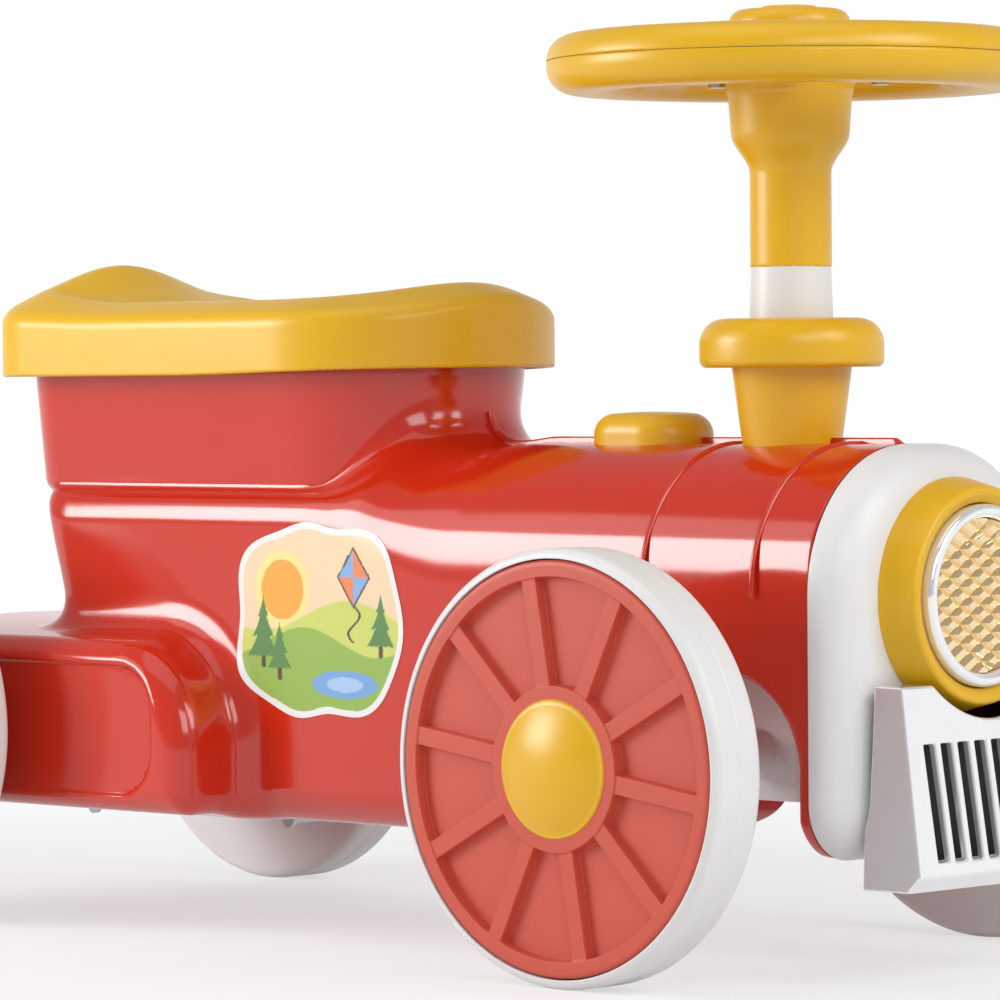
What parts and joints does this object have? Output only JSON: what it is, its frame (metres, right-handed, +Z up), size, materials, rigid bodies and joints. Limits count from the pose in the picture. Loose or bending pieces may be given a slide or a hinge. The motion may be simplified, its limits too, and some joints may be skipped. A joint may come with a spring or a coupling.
{
  "type": "ride-on train",
  "caption": "Child's ride-on locomotive: moulded shell with lift-off seat over a storage bin, steering column on the front axle, free-rolling wheels, headlight, grille and press buttons.",
  "frame": {"origin": "on the floor under the middle of the overall box", "axes": "+X forward, the way the train drives; +Y to its left; +Z up"},
  "size_m": [0.642, 0.304, 0.3924],
  "materials": {
    "red_plastic": "glossy blow-moulded",
    "yellow_plastic": "semi-gloss",
    "horn_plastic": "semi-gloss",
    "white_plastic": "semi-gloss",
    "drum_plastic": "semi-gloss",
    "cover_plastic": "semi-gloss",
    "chrome_plating": "vacuum-plated",
    "lens_plastic": "prismatic clear",
    "lamp_glow": "milky",
    "dark_plastic": "matt",
    "squeaker_rubber": "soft",
    "steel": "zinc plated"
  },
  "bodies": {
    "chassis": {"body_left": "red_plastic", "body_right": "red_plastic", "body_screws": "steel", "storage_bin": "red_plastic", "front_panel": "white_plastic", "headlight_ring": "yellow_plastic", "headlight_bezel": "chrome_plating", "headlight_lens": "lens_plastic", "headlight_lamp": "lamp_glow", "grille": "chrome_plating", "grille_backing": "dark_plastic", "chimney": "yellow_plastic", "chimney_cap": "yellow_plastic", "column_bush": "dark_plastic", "sound_module": "dark_plastic", "rear_axle": "steel", "rear_spacers": "white_plastic", "rear_nuts": "steel"},
    "steering": {"axle_carrier": "white_plastic", "steering_column": "white_plastic", "column_pins": "steel", "steering_wheel_base": "yellow_plastic", "steering_wheel_top": "yellow_plastic", "steering_screws": "steel", "horn_squeaker": "squeaker_rubber", "front_axle": "steel", "front_spacers": "white_plastic", "front_nuts": "steel"},
    "horn": {"horn_button": "horn_plastic"},
    "tune_button": {"boiler_button": "yellow_plastic"},
    "seat_lid": {"seat": "yellow_plastic"},
    "front_left_wheel": {"front_left_drum": "drum_plastic", "front_left_cover": "cover_plastic", "front_left_hub_cap": "yellow_plastic"},
    "front_right_wheel": {"front_right_drum": "drum_plastic", "front_right_cover": "cover_plastic", "front_right_hub_cap": "yellow_plastic"},
    "rear_left_wheel": {"rear_left_drum": "drum_plastic", "rear_left_cover": "cover_plastic", "rear_left_hub_cap": "yellow_plastic"},
    "rear_right_wheel": {"rear_right_drum": "drum_plastic", "rear_right_cover": "cover_plastic", "rear_right_hub_cap": "yellow_plastic"}
  },
  "joints": [
    {"name": "steering_turn", "type": "hinge", "parent": "chassis", "child": "steering", "pos_m": [0.206, 0, 0.2], "axis": [0, 0, 1], "range_deg": [-20, 20]},
    {"name": "horn_press", "type": "slide", "parent": "steering", "child": "horn", "axis": [0, 0, -1], "range_m": [0, 0.0015], "stiffness_N_per_m": 1500, "springref_m": -0.0005},
    {"name": "tune_press", "type": "slide", "parent": "chassis", "child": "tune_button", "axis": [0, 0, -1], "range_m": [0, 0.003], "stiffness_N_per_m": 900, "springref_m": -0.0012},
    {"name": "seat_lift", "type": "slide", "parent": "chassis", "child": "seat_lid", "axis": [0, 0, 1], "range_m": [0, 0.1]},
    {"name": "front_left_roll", "type": "hinge", "parent": "steering", "child": "front_left_wheel", "pos_m": [0.206, 0, 0.087], "axis": [0, 1, 0], "continuous": true},
    {"name": "front_right_roll", "type": "hinge", "parent": "steering", "child": "front_right_wheel", "pos_m": [0.206, 0, 0.087], "axis": [0, 1, 0], "continuous": true},
    {"name": "rear_left_roll", "type": "hinge", "parent": "chassis", "child": "rear_left_wheel", "pos_m": [-0.234, 0, 0.087], "axis": [0, 1, 0], "continuous": true},
    {"name": "rear_right_roll", "type": "hinge", "parent": "chassis", "child": "rear_right_wheel", "pos_m": [-0.234, 0, 0.087], "axis": [0, 1, 0], "continuous": true}
  ]
}
